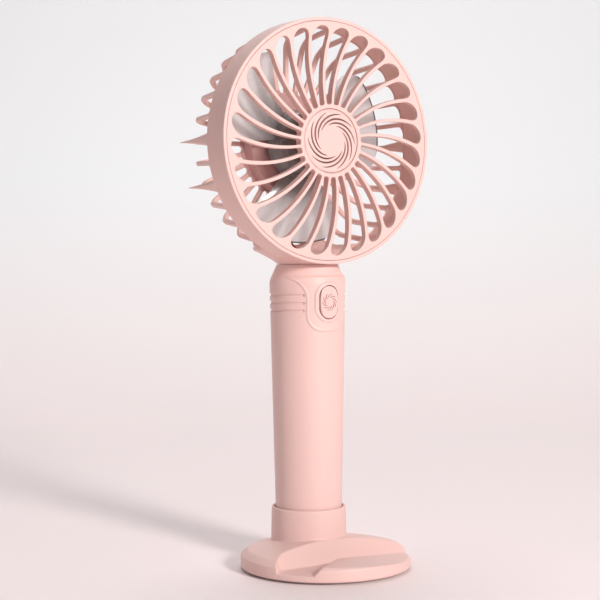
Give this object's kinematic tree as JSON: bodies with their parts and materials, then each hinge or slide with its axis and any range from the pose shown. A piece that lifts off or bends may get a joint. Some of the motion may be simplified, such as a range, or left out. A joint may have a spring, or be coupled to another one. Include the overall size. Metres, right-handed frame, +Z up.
{
  "type": "handheld electric fan",
  "caption": "Handheld electric fan with a round swirl-ribbed guard, a tapered grip with a power button, and a round lift-off desk base with a phone groove.",
  "frame": {"origin": "on the handle's axis, on the underside of the base pad, where the fan stands", "axes": "+Z up the handle; the grille faces -Y; +X is to the right of someone who faces the grille"},
  "size_m": [0.1038, 0.073, 0.2334],
  "materials": {
    "pink_plastic": "fine satin-matte moulded ABS, pale coral pink",
    "pearl_plastic": "glossy pearl-grey moulded blade plastic",
    "pad_rubber": "matte non-slip foam rubber",
    "steel": "plated sheet and turned steel",
    "dark_steel": "coated laminations and sintered magnet",
    "brass": "turned and sintered bearing metal",
    "copper_wire": "enamelled copper wire",
    "circuit_board": "green solder resist on glass-fibre board",
    "black_plastic": "moulded black plastic",
    "white_plastic": "plain white moulded plastic",
    "light_pipe": "milky clear plastic",
    "cell_wrap": "blue shrink sleeve over the cell",
    "red_insulation": "red wire insulation",
    "black_insulation": "black wire insulation"
  },
  "bodies": {
    "stand": {"base_shell": "pink_plastic", "base_weight": "steel", "base_cover": "pink_plastic", "base_screw_1": "steel", "base_screw_2": "steel", "base_screw_3": "steel", "base_pad": "pad_rubber"},
    "fan_body": {"handle_shell": "pink_plastic", "handle_cap": "pink_plastic", "rear_housing": "pink_plastic", "front_grille": "pink_plastic", "hub_cap": "pink_plastic", "battery_tab_bottom": "steel", "battery_tab_top": "steel", "charging_port": "steel", "stator_core": "dark_steel", "bearing_tube": "brass", "bearing_front": "brass", "bearing_rear": "brass", "stator_coil_1": "copper_wire", "stator_coil_2": "copper_wire", "stator_coil_3": "copper_wire", "stator_coil_4": "copper_wire", "stator_coil_5": "copper_wire", "stator_coil_6": "copper_wire", "circuit_board": "circuit_board", "motor_board": "circuit_board", "charge_chip": "black_plastic", "motor_driver_chip": "black_plastic", "tact_switch": "black_plastic", "inner_frame": "white_plastic", "status_led": "white_plastic", "status_light": "light_pipe", "battery_cell": "cell_wrap", "motor_lead_red": "red_insulation", "motor_lead_black": "black_insulation"},
    "impeller": {"impeller": "pearl_plastic", "rotor_can": "steel", "rotor_magnet": "dark_steel", "motor_shaft": "steel"},
    "button": {"power_button": "pink_plastic"},
    "plunger": {"switch_plunger": "white_plastic"}
  },
  "joints": [
    {"name": "fan_lift", "type": "slide", "parent": "stand", "child": "fan_body", "axis": [0, 0, 1], "range_m": [0, 0.03]},
    {"name": "impeller_spin", "type": "hinge", "parent": "fan_body", "child": "impeller", "pos_m": [0, 0.0056, 0.1815], "axis": [0, 1, 0], "continuous": true},
    {"name": "button_press", "type": "slide", "parent": "fan_body", "child": "button", "axis": [0, 1, 0], "range_m": [0, 0.0004], "stiffness_N_per_m": 200, "springref_m": -0.001},
    {"name": "plunger_press", "type": "slide", "parent": "fan_body", "child": "plunger", "axis": [0, 1, 0], "range_m": [0, 0.0004]}
  ],
  "couplings": [
    {"joint": "plunger_press", "follows": "button_press", "ratio": 1}
  ]
}
